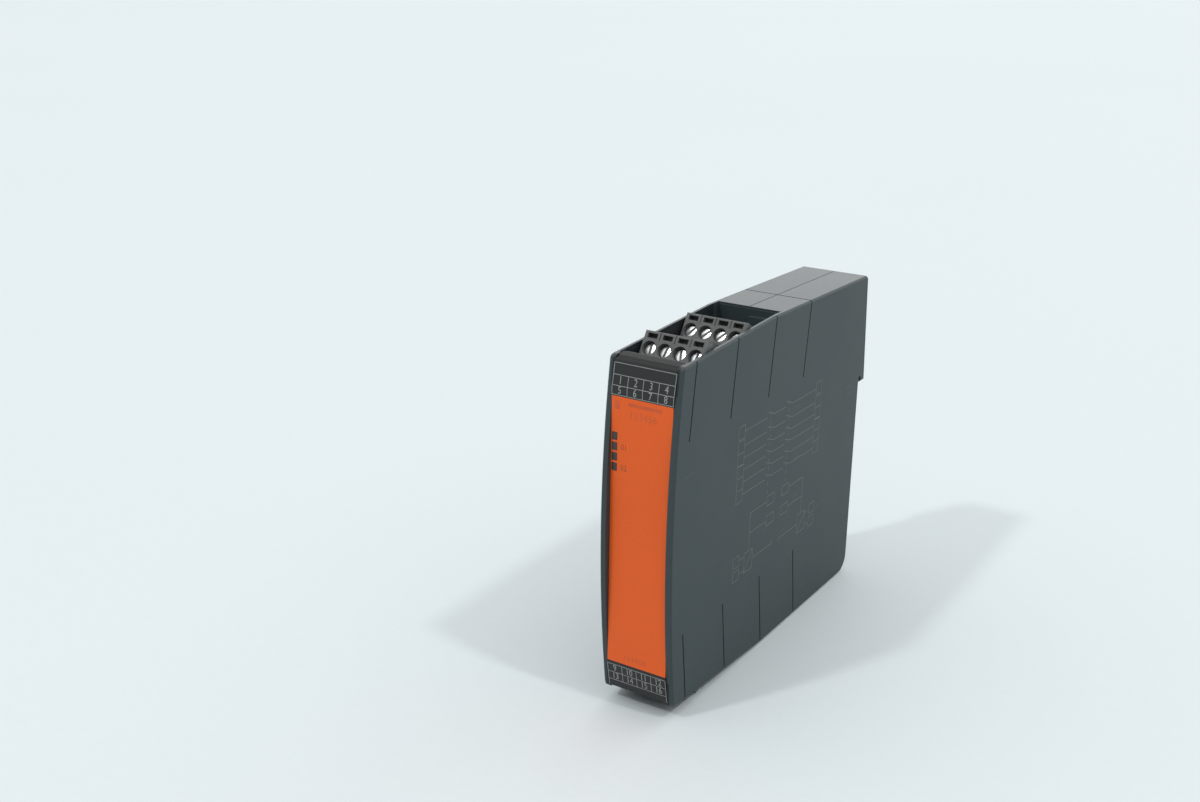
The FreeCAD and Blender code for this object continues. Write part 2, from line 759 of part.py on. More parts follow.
def main():
    os.makedirs("parts", exist_ok=True)
    save(case_right(), "case_right")
    save(case_left(), "case_left")
    save(front_cover(), "front_cover")
    save(front_label(), "front_label")
    save(light_guide(), "light_guide")
    save(lights(), "lights")

    turns = [4.0, -9.0, 12.0, -3.0, 38.0, 44.0, 41.0, 47.0]
    all_pins = []
    for row, y in enumerate(screw_ys):
        place = ("front", "rear")[row]
        pins = header_pins(y)
        base = header_base(y, pins)
        block = plug_block(y)
        contacts = plug_contacts(y)
        for level in ("top", "bottom"):
            turn_over = flip if level == "bottom" else (lambda shape: shape)
            name = level + "_" + place
            save(turn_over(block), "plug_" + name)
            save(turn_over(contacts), "contacts_" + name)
            save(turn_over(base), "header_" + name)
            for i, x in enumerate(pole_x):
                screw = clamp_screw(y, x, turns[row * poles + i])
                save(turn_over(screw), "screw_" + name + "_" + str(i + 1))
                save(turn_over(clamp_cage(y, x)), "cage_" + name + "_" + str(i + 1))
            all_pins.extend(turn_over(one) for one in pins)
    save(Part.Compound(all_pins), "header_pins")

    save(main_board(all_pins), "main_board")
    save(relay(height / 2.0 + relay_apart / 2.0), "relay_upper")
    save(relay(height / 2.0 - relay_apart / 2.0 - relay_wide), "relay_lower")
    save(capacitor(), "capacitor")
    save(small_parts(), "small_parts")
    save(rail_latch(), "rail_latch")
    save(latch_spring(), "latch_spring")


main()
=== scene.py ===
"""Finishes, print and studio stage of a slim relay module for a 35 mm rail."""

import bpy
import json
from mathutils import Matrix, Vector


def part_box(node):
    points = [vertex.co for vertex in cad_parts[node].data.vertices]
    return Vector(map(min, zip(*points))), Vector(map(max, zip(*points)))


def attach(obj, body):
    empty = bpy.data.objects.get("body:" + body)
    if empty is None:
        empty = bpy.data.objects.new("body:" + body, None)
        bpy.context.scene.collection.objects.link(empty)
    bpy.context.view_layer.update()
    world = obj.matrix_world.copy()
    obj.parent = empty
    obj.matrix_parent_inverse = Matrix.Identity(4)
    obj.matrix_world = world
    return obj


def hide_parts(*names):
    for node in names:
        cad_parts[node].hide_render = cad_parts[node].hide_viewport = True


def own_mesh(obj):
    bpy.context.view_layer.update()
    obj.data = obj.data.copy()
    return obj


bl_info = {
    "name": "Rail relay module",
    "version": (1, 0, 0),
    "blender": (4, 5, 0),
    "location": "3D View > Sidebar > Relay module",
    "description": "Materials, printed marks, clamp screws and stage of a rail relay module",
    "category": "Object",
}

import json
import math

import bmesh
import bpy
import numpy as np
from bpy.props import FloatProperty, FloatVectorProperty, IntProperty, PointerProperty
from mathutils import Matrix

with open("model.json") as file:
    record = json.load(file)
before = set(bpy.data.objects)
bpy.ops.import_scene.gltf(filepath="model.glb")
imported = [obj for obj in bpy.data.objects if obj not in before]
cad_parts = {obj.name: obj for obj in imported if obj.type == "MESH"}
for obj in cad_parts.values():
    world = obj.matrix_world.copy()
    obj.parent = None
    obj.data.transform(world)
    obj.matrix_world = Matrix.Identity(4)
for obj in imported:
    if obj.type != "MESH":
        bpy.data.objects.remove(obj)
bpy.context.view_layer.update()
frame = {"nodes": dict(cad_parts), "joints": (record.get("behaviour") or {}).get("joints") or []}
joints = {joint["name"]: joint for joint in frame["joints"]}

MM = 0.001

# Sizes shared with the solids, in metres; heights are the case's own, from the foot at its rear.
# The module rests on its lower blocks, so the case stands a little above the origin.
STAND = 1.728 * MM
REST_Y = -19.64 * MM
REST_SLOPE = 0.02333
HALF_WIDTH = 11.25 * MM
MID_Z = 50.0 * MM
BAY_HALF = 10.1 * MM
BAY_FRONT = -58.0 * MM
BAY_REAR = -4.0 * MM
PANEL_Y = -58.6 * MM
PANEL_LEAN = 1.4 * MM
PANEL_FLAT_HALF = 40.2 * MM
PANEL_LEAN_LONG = 7.4 * MM
PANEL_FOLDS_Z = (MID_Z - PANEL_FLAT_HALF, MID_Z + PANEL_FLAT_HALF)

# Terminal blocks and their screws: depths are below the screw face, slots are turned in degrees, and the
# columns of a head's surface stand at shares of its radius
LEVELS = ("top", "bottom")
ROWS = ("front", "rear")
BLOCKS = [level + "_" + row for level in LEVELS for row in ROWS]
POLES = 4
JOINT_DEPTH = 3.0 * MM
HEAD_TOP = 1.3 * MM
HEAD_LOW = 3.1 * MM
HEAD_R = 1.9 * MM
HEAD_COLUMNS = 1.0 - np.array([1e-4, 0.004, 0.03, 0.09, 0.2, 0.34, 0.5, 0.66])
HEAD_CREASE = math.radians(35.0)
SLOT_WIDE = 0.8 * MM
SLOT_DEEP = 0.9 * MM
SLOT_TURNS = {"front": (4.0, -9.0, 12.0, -3.0), "rear": (-38.0, -44.0, -41.0, -47.0)}
SHANK_R = 1.25 * MM
SHANK_LOW = 8.4 * MM
SHANK_SUNK = 0.3 * MM
THREAD_PITCH = 0.5 * MM
THREAD_RINGS = 6
THREAD_START = 0.3 * MM
THREAD_RUN_IN = 0.4 * MM
THREAD_RUN_OUT = 0.3 * MM
THREAD_LEFT = 0.6

# Latch spring: wire radius, turns, and steps of its surface
SPRING_WIRE = 0.25 * MM
SPRING_TURNS = 6
COIL_STEPS = 28
COIL_SIDES = 10
COIL_CREASE = math.radians(50.0)

# Print: how deep its underside sits, columns and heights of the ruled lines, then the marks on the label
INK_SUNK = 0.004 * MM
COLUMN_X = np.linspace(-9.3, 9.3, 5) * MM
TOP_LINES_Z = np.array([96.8, 93.75, 90.95, 88.45]) * MM
BOTTOM_LINES_Z = np.array([9.9, 7.26, 4.63]) * MM
STRIP_END_Z = 2.55 * MM
LIGHT_NUMERALS_AT = np.array([(-5.25, 74.2), (-5.25, 68.45)]) * MM
WIDE_FIELD = np.array([(-8.3, 85.7), (-6.8, 85.7)]) * MM
WIDE_FIELD_HIGH = 2.2 * MM
THIN_FIELD = np.array([(-4.2, 86.4), (6.0, 86.4)]) * MM
THIN_FIELD_HIGH = 0.9 * MM
LABEL_NUMBER_AT = np.array([(0.35, 83.5)]) * MM
FOOT_NUMBER_AT = np.array([(-0.6, 13.0)]) * MM
COUNTING_DIGITS = "123456"

# Side diagram on the right wall: rows of lines between two columns of boxes
DIAGRAM_ROWS_Z = np.array([71.6, 67.3, 63.6, 60.0, 56.3, 52.6]) * MM
LEFT_BOX_Y = np.array([-25.6, -21.9]) * MM
RIGHT_BOX_Y = np.array([23.7, 27.4]) * MM
BREAKS_Y = np.array([[-8.6, -3.8], [3.2, 8.0]]) * MM
BLADE_SHORT = 0.6 * MM
BLADE_RISE = 1.45 * MM
DASH_PAST = 5.0 * MM
DASH_CUTS = 22

# Lower part of the diagram: heights of coils, feet, links and end boxes, then what stands in each half:
# column of end boxes, bus, coil from the bus inwards, foot from inside outwards, and tick that ends the link
COILS_Z = np.array([45.0, 38.8]) * MM
COIL_HALF = 1.5 * MM
FOOT_Z = np.array([27.0, 33.2]) * MM
LINK_Z = 30.1 * MM
END_BOXES_Z = np.array([32.3, 28.0]) * MM
END_BOX_HALF = 1.6 * MM
LOWER_HALVES = (
    (LEFT_BOX_Y[::-1], -16.2 * MM, np.array([-6.0, -1.2]) * MM, np.array([-13.8, -18.8]) * MM,
     np.array([-1.5, 31.4]) * MM),
    (RIGHT_BOX_Y, 17.8 * MM, np.array([8.2, 3.4]) * MM, np.array([15.6, 20.8]) * MM,
     np.array([3.0, 28.8]) * MM),
)

# Finishes: colours of the smaller pieces, then strength and scale of wear and grain, and the painted shade
# inside the bay
CLEAR_LIGHT = (0.75, 0.75, 0.70)
TINNED_BRASS = (0.70, 0.66, 0.55)
HEADER_BLACK = (0.032, 0.033, 0.034)
RELAY_GREY = (0.60, 0.60, 0.57)
CAN_METAL = (0.62, 0.63, 0.64)
RESIN_BLACK = (0.04, 0.04, 0.042)
LATCH_BLACK = (0.038, 0.040, 0.043)
SPRING_STEEL = (0.58, 0.58, 0.57)
LACQUER_LIGHT = (0.02, 0.19, 0.07, 1.0)
LACQUER_DARK = (0.015, 0.15, 0.05, 1.0)
LACQUER_GAP = (0.012, 0.10, 0.035, 1.0)
DUST = (0.42, 0.41, 0.39)
DUST_ROUGHNESS = 0.85
RUB_SCALE = 900.0
RUB_TONE = 1.45
RUB_SMOOTH = 0.7
# painted shade: share of the case colour that is left inside the bay
BAY_PAINTED_SHADE = 0.4
POLISH_ROUGHNESS = 0.16
PLASTIC_SWAY = 0.06
METAL_SWAY = 0.08
PLASTIC_GRAIN_DEEP = 0.05 * MM
METAL_GRAIN_DEEP = 0.03 * MM

# Stage: places are in metres and the sensor in millimetres; light of the ceiling and of the rear wall rises
# between two values of the direction's height and depth
FLOOR_REACH = 9.0
FLOOR_GAP = 0.05 * MM
ROOM_TINT = (0.97, 0.99, 1.0, 1.0)
CEILING_RISE = (0.2, 0.65)
WALL_RISE = (0.5, 0.95)
FRONT_LAMP_AT = (-0.207, -0.399, 0.586)
FRONT_LAMP_WIDE = math.radians(4.0)
RIGHT_LAMP_AT = (0.42, -0.03, 0.67)
RIGHT_LAMP_WIDE = math.radians(4.5)
CAMERA_AT = (0.18309, -0.35949, 0.20709 + STAND)
CAMERA_RIGHT = (0.83535, 0.54956, 0.01309)
CAMERA_UP = (-0.18640, 0.26077, 0.94724)
CAMERA_CLIP = (0.01, 60.0)
SENSOR_WIDE = 36.0


class RelayPaint(bpy.types.PropertyGroup):
    """Colours of the module's finishes."""

    case: FloatVectorProperty(name="Case", description="Slate plastic of the two half shells",
                              subtype="COLOR", size=3, min=0.0, max=1.0, default=(0.0435, 0.060, 0.064))
    cover: FloatVectorProperty(name="Front cover", description="Dark plastic of the front cover",
                               subtype="COLOR", size=3, min=0.0, max=1.0, default=(0.0235, 0.0257, 0.0250))
    label: FloatVectorProperty(name="Label", description="Orange sheet on the front cover",
                               subtype="COLOR", size=3, min=0.0, max=1.0, default=(0.93, 0.137, 0.0192))
    label_print: FloatVectorProperty(name="Label print", description="Small numerals on the orange sheet",
                                     subtype="COLOR", size=3, min=0.0, max=1.0, default=(0.42, 0.080, 0.028))
    faint_print: FloatVectorProperty(name="Faint print", description="Worn marks at the label's ends",
                                     subtype="COLOR", size=3, min=0.0, max=1.0, default=(0.70, 0.108, 0.024))
    ruled_print: FloatVectorProperty(name="Ruled print", description="Lines and numerals on the cover",
                                     subtype="COLOR", size=3, min=0.0, max=1.0, default=(0.34, 0.35, 0.34))
    side_print: FloatVectorProperty(name="Side print", description="Faint diagram on the right wall",
                                    subtype="COLOR", size=3, min=0.0, max=1.0, default=(0.17, 0.175, 0.165))
    window: FloatVectorProperty(name="Light windows", description="Smoked plastic of the light guide",
                                subtype="COLOR", size=3, min=0.0, max=1.0, default=(0.045, 0.038, 0.034))
    terminal: FloatVectorProperty(name="Terminal blocks", description="Grey plastic of the plug-in blocks",
                                  subtype="COLOR", size=3, min=0.0, max=1.0, default=(0.126, 0.132, 0.131))
    plating: FloatVectorProperty(name="Zinc plating", description="Bright plating of screws and cages",
                                 subtype="COLOR", size=3, min=0.0, max=1.0, default=(0.80, 0.81, 0.80))


class RelayPrint(bpy.types.PropertyGroup):
    """Sizes of the printed marks."""

    line_width: FloatProperty(name="Ruled line", description="Width of the ruled lines on the cover",
                              unit="LENGTH", min=0.0, default=0.16 * MM)
    diagram_width: FloatProperty(name="Diagram line", description="Width of the lines of the side diagram",
                                 unit="LENGTH", min=0.0, default=0.17 * MM)
    ink: FloatProperty(name="Ink thickness", description="How far print stands proud of the plastic",
                       unit="LENGTH", min=0.0, default=0.015 * MM)
    numeral: FloatProperty(name="Numeral height", description="Size of the numerals in the cells",
                           unit="LENGTH", min=0.0, default=2.9 * MM)


class RelayScrews(bpy.types.PropertyGroup):
    """Finish of the clamp screws."""

    chamfer: FloatProperty(name="Rim chamfer", description="Chamfer round the screw head",
                           unit="LENGTH", min=0.0, default=0.18 * MM)
    crown: FloatProperty(name="Crown", description="Rise of the head's middle above its rim",
                         unit="LENGTH", min=0.0, default=0.10 * MM)
    thread_deep: FloatProperty(name="Thread depth", description="Depth of the thread on the shank",
                               unit="LENGTH", min=0.0, default=0.22 * MM)
    steps: IntProperty(name="Steps round", description="Steps round the head and shank", min=12, default=48)


class RelayStage(bpy.types.PropertyGroup):
    """Floor, lamps and camera of the studio."""

    floor: FloatVectorProperty(name="Floor", description="Pale floor that runs out of the picture",
                               subtype="COLOR", size=3, min=0.0, max=1.0, default=(0.748, 0.806, 0.822))
    horizon: FloatProperty(name="Low light", description="Light of the room at the level of the floor",
                           min=0.0, default=0.0)
    zenith: FloatProperty(name="High light", description="Light of the room from overhead",
                          min=0.0, default=0.86)
    wall: FloatProperty(name="Rear light", description="Added light of the bright wall behind",
                        min=0.0, default=1.35)
    key: FloatProperty(name="Front lamp", description="Strength of the lamp to the left of the front",
                       min=0.0, default=0.58)
    fill: FloatProperty(name="Right lamp", description="Strength of the lamp on the right",
                        min=0.0, default=0.52)
    lens: FloatProperty(name="Focal length", description="Focal length of the camera, in millimetres",
                        min=1.0, default=43.389)


# Node helpers

def add_node(tree, kind, inputs=None, **settings):
    """Add a node, set its attributes, then set or link its inputs by name or number."""
    node = tree.nodes.new(kind)
    for key, value in settings.items():
        setattr(node, key, value)
    for key, value in (inputs or {}).items():
        if isinstance(value, bpy.types.NodeSocket):
            tree.links.new(value, node.inputs[key])
        else:
            node.inputs[key].default_value = value
    return node


def noise(tree, vector, scale, detail, roughness=0.5):
    """Socket of a noise between 0 and 1."""
    return add_node(tree, "ShaderNodeTexNoise", {"Vector": vector, "Scale": scale, "Detail": detail,
                                                 "Roughness": roughness}).outputs[0]


def ramp(tree, value, low, high, start=0.0, end=1.0, kind="LINEAR"):
    """Socket that goes from start to end while the value goes from low to high."""
    return add_node(tree, "ShaderNodeMapRange", {0: value, 1: low, 2: high, 3: start, 4: end},
                    interpolation_type=kind).outputs[0]


def calc(tree, operation, *values, clamp=False):
    """Socket of one step of arithmetic."""
    return add_node(tree, "ShaderNodeMath", dict(enumerate(values)), operation=operation,
                    use_clamp=clamp).outputs[0]


def mix_numbers(tree, share, first, second):
    """Socket between two numbers."""
    return add_node(tree, "ShaderNodeMix", {0: share, 2: first, 3: second}, data_type="FLOAT").outputs[0]


def mix_colours(tree, share, first, second):
    """Socket between two colours."""
    return add_node(tree, "ShaderNodeMix", {0: share, 6: first, 7: second}, data_type="RGBA").outputs[2]


def start_group(name, inputs, outputs):
    """New shader group with float inputs (a vector where the name says so) and float outputs."""
    tree = bpy.data.node_groups.new(name, "ShaderNodeTree")
    for label in inputs:
        kind = "NodeSocketVector" if label == "Vector" else "NodeSocketFloat"
        tree.interface.new_socket(label, in_out="INPUT", socket_type=kind)
    for label in outputs:
        tree.interface.new_socket(label, in_out="OUTPUT", socket_type="NodeSocketFloat")
    return tree, tree.nodes.new("NodeGroupInput").outputs, tree.nodes.new("NodeGroupOutput").inputs


def grain_group():
    """Moulded grain: fine noise for the height, the mean of fine and slow noise for the tone."""
    if "moulded_grain" in bpy.data.node_groups:
        return bpy.data.node_groups["moulded_grain"]
    tree, ins, outs = start_group("moulded_grain", ["Vector", "Grain", "Mottle"], ["Tone", "Height"])
    fine = noise(tree, ins["Vector"], ins["Grain"], detail=2.0, roughness=0.6)
    slow = noise(tree, ins["Vector"], ins["Mottle"], detail=3.0, roughness=0.55)
    tree.links.new(ramp(tree, mix_numbers(tree, 0.5, fine, slow), 0.32, 0.68), outs["Tone"])
    tree.links.new(fine, outs["Height"])
    return tree


def rub_group():
    """Handling marks: noise stretched along one way, cut at a level, thinned by a slow noise."""
    if "rubbed_marks" in bpy.data.node_groups:
        return bpy.data.node_groups["rubbed_marks"]
    tree, ins, outs = start_group("rubbed_marks", ["Vector", "Scale", "Cover"], ["Mask"])
    turned = add_node(tree, "ShaderNodeMapping", {"Vector": ins["Vector"], "Rotation": (0.5, 0.0, 0.3),
                                                  "Scale": (1.0, 0.09, 1.0)})
    streak = noise(tree, turned.outputs[0], ins["Scale"], detail=2.0)
    patch = noise(tree, ins["Vector"], scale=70.0, detail=2.0)
    cut = ramp(tree, streak, calc(tree, "SUBTRACT", 0.78, ins["Cover"]), 0.82)
    tree.links.new(calc(tree, "MULTIPLY", cut, ramp(tree, patch, 0.42, 0.62)), outs["Mask"])
    return tree


def dust_group():
    """Settled dust: faces that look up, broken by two noises."""
    if "settled_dust" in bpy.data.node_groups:
        return bpy.data.node_groups["settled_dust"]
    tree, ins, outs = start_group("settled_dust", ["Vector", "Up", "Amount"], ["Mask"])
    specks = ramp(tree, noise(tree, ins["Vector"], scale=2600.0, detail=3.0), 0.52, 0.7)
    patch = ramp(tree, noise(tree, ins["Vector"], scale=110.0, detail=2.0), 0.35, 0.7, 0.2, 1.0)
    lie = calc(tree, "MULTIPLY", ramp(tree, ins["Up"], 0.15, 0.95), patch)
    some = calc(tree, "MULTIPLY", lie, calc(tree, "ADD", specks, 0.25))
    tree.links.new(calc(tree, "MULTIPLY", some, ins["Amount"], clamp=True), outs["Mask"])
    return tree


def start_material(name, roughness, metallic=0.0):
    """Material with its shader and Object coordinates."""
    material = bpy.data.materials.new(name)
    material.use_nodes = True
    tree = material.node_tree
    shader = tree.nodes["Principled BSDF"]
    shader.inputs["Metallic"].default_value = metallic
    shader.inputs["Roughness"].default_value = roughness
    place = tree.nodes.new("ShaderNodeTexCoord").outputs["Object"]
    return material, tree, shader, place


def grain_cells(tree, place, grain, mottle):
    """Outputs of the moulded grain at a place."""
    return add_node(tree, "ShaderNodeGroup", {"Vector": place, "Grain": grain, "Mottle": mottle},
                    node_tree=grain_group()).outputs


def link_finish(tree, shader, paint, rough, height, bump, deep):
    """Lead colour, roughness and a bump of some strength and depth to the shader."""
    raised = add_node(tree, "ShaderNodeBump", {"Strength": bump, "Distance": deep, "Height": height})
    tree.links.new(paint, shader.inputs["Base Color"])
    tree.links.new(rough, shader.inputs["Roughness"])
    tree.links.new(raised.outputs[0], shader.inputs["Normal"])


def shade(colour, factor):
    """Colour times a factor, with full alpha."""
    return tuple(min(1.0, c * factor) for c in colour) + (1.0,)


def plastic(name, colour, roughness, grain, span, bump, mottle=70.0, rub=0.0, dust=0.0, gloss=0.5,
            polish=0.0, shaded_bay=None):
    """Moulded plastic: grain in tone and height, rubbed marks that shine, dust and polish on what looks up.

    Inside a bay, given as half width, front and rear, the colour is darkened: painted shade.
    """
    material, tree, shader, place = start_material(name, roughness)
    shader.inputs["Specular IOR Level"].default_value = gloss
    cells = grain_cells(tree, place, grain, mottle)
    paint = mix_colours(tree, cells["Tone"], shade(colour, 1.0 - span), shade(colour, 1.0 + span))
    rough = ramp(tree, cells["Tone"], 0.0, 1.0, roughness - PLASTIC_SWAY, roughness + PLASTIC_SWAY)
    if rub > 0.0:
        marks = add_node(tree, "ShaderNodeGroup", {"Vector": place, "Scale": RUB_SCALE, "Cover": rub},
                         node_tree=rub_group()).outputs["Mask"]
        paint = mix_colours(tree, marks, paint, shade(colour, RUB_TONE))
        rough = mix_numbers(tree, marks, rough, roughness * RUB_SMOOTH)
    if dust > 0.0 or polish > 0.0:
        normal = tree.nodes.new("ShaderNodeNewGeometry").outputs["Normal"]
        up = add_node(tree, "ShaderNodeSeparateXYZ", {0: normal}).outputs["Z"]
    if polish > 0.0:
        tree.links.new(ramp(tree, up, 0.5, 0.9, 0.0, polish), shader.inputs["Coat Weight"])
        shader.inputs["Coat Roughness"].default_value = POLISH_ROUGHNESS
    if dust > 0.0:
        lying = add_node(tree, "ShaderNodeGroup", {"Vector": place, "Up": up, "Amount": dust},
                         node_tree=dust_group()).outputs["Mask"]
        paint = mix_colours(tree, lying, paint, shade(DUST, 1.0))
        rough = mix_numbers(tree, lying, rough, DUST_ROUGHNESS)
    # painted shade: the colour is darkened inside the bay
    if shaded_bay:
        half, front, rear = shaded_bay
        spot = add_node(tree, "ShaderNodeSeparateXYZ", {0: place}).outputs
        within = calc(tree, "LESS_THAN", calc(tree, "ABSOLUTE", spot["X"]), half)
        behind = calc(tree, "GREATER_THAN", spot["Y"], front)
        before = calc(tree, "LESS_THAN", spot["Y"], rear)
        inside = calc(tree, "MULTIPLY", within, calc(tree, "MULTIPLY", behind, before))
        paint = mix_colours(tree, inside, paint, shade(colour, BAY_PAINTED_SHADE))
    link_finish(tree, shader, paint, rough, cells["Height"], bump, PLASTIC_GRAIN_DEEP)
    return material


def metal(name, colour, roughness, grain, span=0.1, bump=0.08):
    """Plated or drawn metal: cloudy tone, roughness that follows it, fine pitting."""
    material, tree, shader, place = start_material(name, roughness, metallic=1.0)
    cells = grain_cells(tree, place, grain, grain / 4.0)
    paint = mix_colours(tree, cells["Tone"], shade(colour, 1.0 - span), shade(colour, 1.0 + span))
    rough = ramp(tree, cells["Tone"], 0.0, 1.0, roughness + METAL_SWAY, roughness - METAL_SWAY)
    link_finish(tree, shader, paint, rough, cells["Height"], bump, METAL_GRAIN_DEEP)
    return material


def ink(name, colour):
    """Printed ink: uneven tone from fine noise, as a worn print has."""
    return plastic(name, colour, roughness=0.6, grain=5200.0, mottle=420.0, span=0.16, bump=0.05)


def board_lacquer(name):
    """Lacquered board: bands of green in a brick pattern turned on the board's face."""
    material, tree, shader, place = start_material(name, roughness=0.3)
    turned = add_node(tree, "ShaderNodeMapping", {"Vector": place,
                                                  "Rotation": (0.0, math.radians(90.0), 0.0)})
    paths = add_node(tree, "ShaderNodeTexBrick", {"Vector": turned.outputs[0], "Color1": LACQUER_DARK,
                                                  "Color2": LACQUER_LIGHT, "Mortar": LACQUER_GAP,
                                                  "Scale": 160.0, "Mortar Size": 0.03})
    cells = grain_cells(tree, place, grain=900.0, mottle=60.0)
    tree.links.new(paths.outputs[0], shader.inputs["Base Color"])
    tree.links.new(ramp(tree, cells["Tone"], 0.0, 1.0, 0.24, 0.36), shader.inputs["Roughness"])
    return material


def dress(node, material):
    """Give a solid's object one material."""
    slots = frame["nodes"][node].data.materials
    slots.clear()
    slots.append(material)


# Mesh helpers

def put_piece(name, points, blocks, material, body, crease=None, second=None, chosen=None):
    """New object at the origin from points and arrays of faces, riding on a body.

    With a crease angle, faces that meet at less than it are shaded as one. The chosen faces take a
    second material.
    """
    mesh = bpy.data.meshes.new(name)
    mesh.from_pydata(points.tolist(), [], sum((block.tolist() for block in blocks), []))
    mesh.update()
    mesh.polygons.foreach_set("use_smooth", np.full(len(mesh.polygons), crease is not None))
    if crease is not None:
        mesh.set_sharp_from_angle(angle=crease)
    mesh.materials.append(material)
    if second is not None:
        mesh.materials.append(second)
        mesh.polygons.foreach_set("material_index", chosen.astype(np.int32))
    piece = bpy.data.objects.new(name, mesh)
    bpy.context.scene.collection.objects.link(piece)
    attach(piece, body)
    return piece


BOX_FACES = np.array([[0, 2, 3, 1], [4, 5, 7, 6], [0, 1, 5, 4], [2, 6, 7, 3], [0, 4, 6, 2], [1, 3, 7, 5]])


def flat_bars(starts, ends, width, square_end=False):
    """Bars of one width on a plane: each is its middle line, pushed half a width to both sides.

    With square ends it grows by half a width there too. Returns corners as (bar, end, side, 2), in the
    order that BOX_FACES takes after a layer is added.
    """
    starts, ends = np.asarray(starts, float), np.asarray(ends, float)
    along = ends - starts
    along = along / np.linalg.norm(along, axis=1, keepdims=True)
    across = np.stack([-along[:, 1], along[:, 0]], axis=1) * width / 2.0
    grow = along * (width / 2.0 if square_end else 0.0)
    tips = np.stack([starts - grow, ends + grow], axis=1)
    return np.stack([tips - across[:, None], tips + across[:, None]], axis=2)


def lift_bars(corners, place):
    """Thin closed boxes over flat corners: place(u, v, layer) gives points, layer 0 below and 1 on top."""
    flat = corners.reshape(-1, 2)
    low = place(flat[:, 0], flat[:, 1], 0).reshape(-1, 4, 3)
    top = place(flat[:, 0], flat[:, 1], 1).reshape(-1, 4, 3)
    points = np.concatenate([low, top], axis=1).reshape(-1, 3)
    count = len(corners)
    faces = (BOX_FACES[None] + 8 * np.arange(count)[:, None, None]).reshape(-1, 4)
    return points, turned_outwards(points, faces)


def panel_surface(z):
    """Y of the cover's face: flat in the middle, then leaning back evenly to both ends."""
    past = np.clip((np.abs(z - MID_Z) - PANEL_FLAT_HALF) / PANEL_LEAN_LONG, 0.0, 1.0)
    return PANEL_Y + PANEL_LEAN * past


def panel_place(thickness):
    """Place of print on the cover: x and z as given, y from the cover's face, one ink thickness proud."""
    def place(x, z, layer):
        return np.stack([x, panel_surface(z) + (INK_SUNK if layer == 0 else -thickness), z + STAND], axis=1)
    return place


def side_place(thickness):
    """Place of print on the right wall: y and z as given, x at the wall's face, one ink thickness proud."""
    def place(y, z, layer):
        wall = np.full_like(y, HALF_WIDTH + (-INK_SUNK if layer == 0 else thickness))
        return np.stack([wall, y, z + STAND], axis=1)
    return place


def turned_outwards(points, *blocks):
    """Arrays of faces of closed shells, all turned so that the volume they hold is positive."""
    volume = 0.0
    for faces in blocks:
        first = points[faces[:, :1]]
        volume += np.sum(first * np.cross(points[faces[:, 1:-1]], points[faces[:, 2:]]))
    return [faces if volume > 0.0 else faces[:, ::-1] for faces in blocks]


def grid_faces(rows, columns, closed=False):
    """Quads of a grid of points numbered row by row; closed joins the last column to the first."""
    r = np.arange(rows - 1)[:, None]
    c = np.arange(columns if closed else columns - 1)[None]
    n = (c + 1) % columns
    return np.stack([r * columns + c, r * columns + n, (r + 1) * columns + n, (r + 1) * columns + c],
                    axis=-1).reshape(-1, 4)


def tube_blocks(points, rings, sides):
    """Faces of a closed tube of rings of points: its wall, and one flat face at each end."""
    ring = np.arange(sides)
    ends = np.stack([ring[::-1], ring + len(points) - sides])
    return turned_outwards(points, grid_faces(rings, sides, closed=True), ends)


def folded(starts, ends, folds):
    """Upright lines cut in two at each fold's height that they cross; other lines stay whole."""
    for fold in folds:
        cut = (np.minimum(starts[:, 1], ends[:, 1]) < fold) & (np.maximum(starts[:, 1], ends[:, 1]) > fold)
        middle = np.stack([starts[cut, 0], np.full(cut.sum(), fold)], axis=1)
        starts, ends = (np.concatenate([starts[~cut], starts[cut], middle]),
                        np.concatenate([ends[~cut], middle, ends[cut]]))
    return starts, ends


def text_arrays(words, size, folds):
    """Outline of a word as points and triangles on the XY plane, centred on the origin, cut along folds."""
    curve = bpy.data.curves.new("numeral", "FONT")
    curve.body = words
    curve.size = size
    curve.align_x = "CENTER"
    curve.align_y = "CENTER"
    curve.resolution_u = 3
    holder = bpy.data.objects.new("numeral", curve)
    bpy.context.scene.collection.objects.link(holder)
    bpy.context.view_layer.update()
    ready = holder.evaluated_get(bpy.context.evaluated_depsgraph_get())
    mesh = bpy.data.meshes.new_from_object(ready)
    if folds:
        cut = bmesh.new()
        cut.from_mesh(mesh)
        for height in folds:
            parts = cut.verts[:] + cut.edges[:] + cut.faces[:]
            bmesh.ops.bisect_plane(cut, geom=parts, plane_co=(0.0, height, 0.0), plane_no=(0.0, 1.0, 0.0))
        cut.to_mesh(mesh)
        cut.free()
    mesh.calc_loop_triangles()
    points = np.empty(len(mesh.vertices) * 3, np.float32)
    mesh.vertices.foreach_get("co", points)
    corners = np.empty(len(mesh.loop_triangles) * 3, np.int32)
    mesh.loop_triangles.foreach_get("vertices", corners)
    bpy.data.objects.remove(holder)
    bpy.data.curves.remove(curve)
    bpy.data.meshes.remove(mesh)
    return points.reshape(-1, 3)[:, :2].astype(float), corners.reshape(-1, 3)


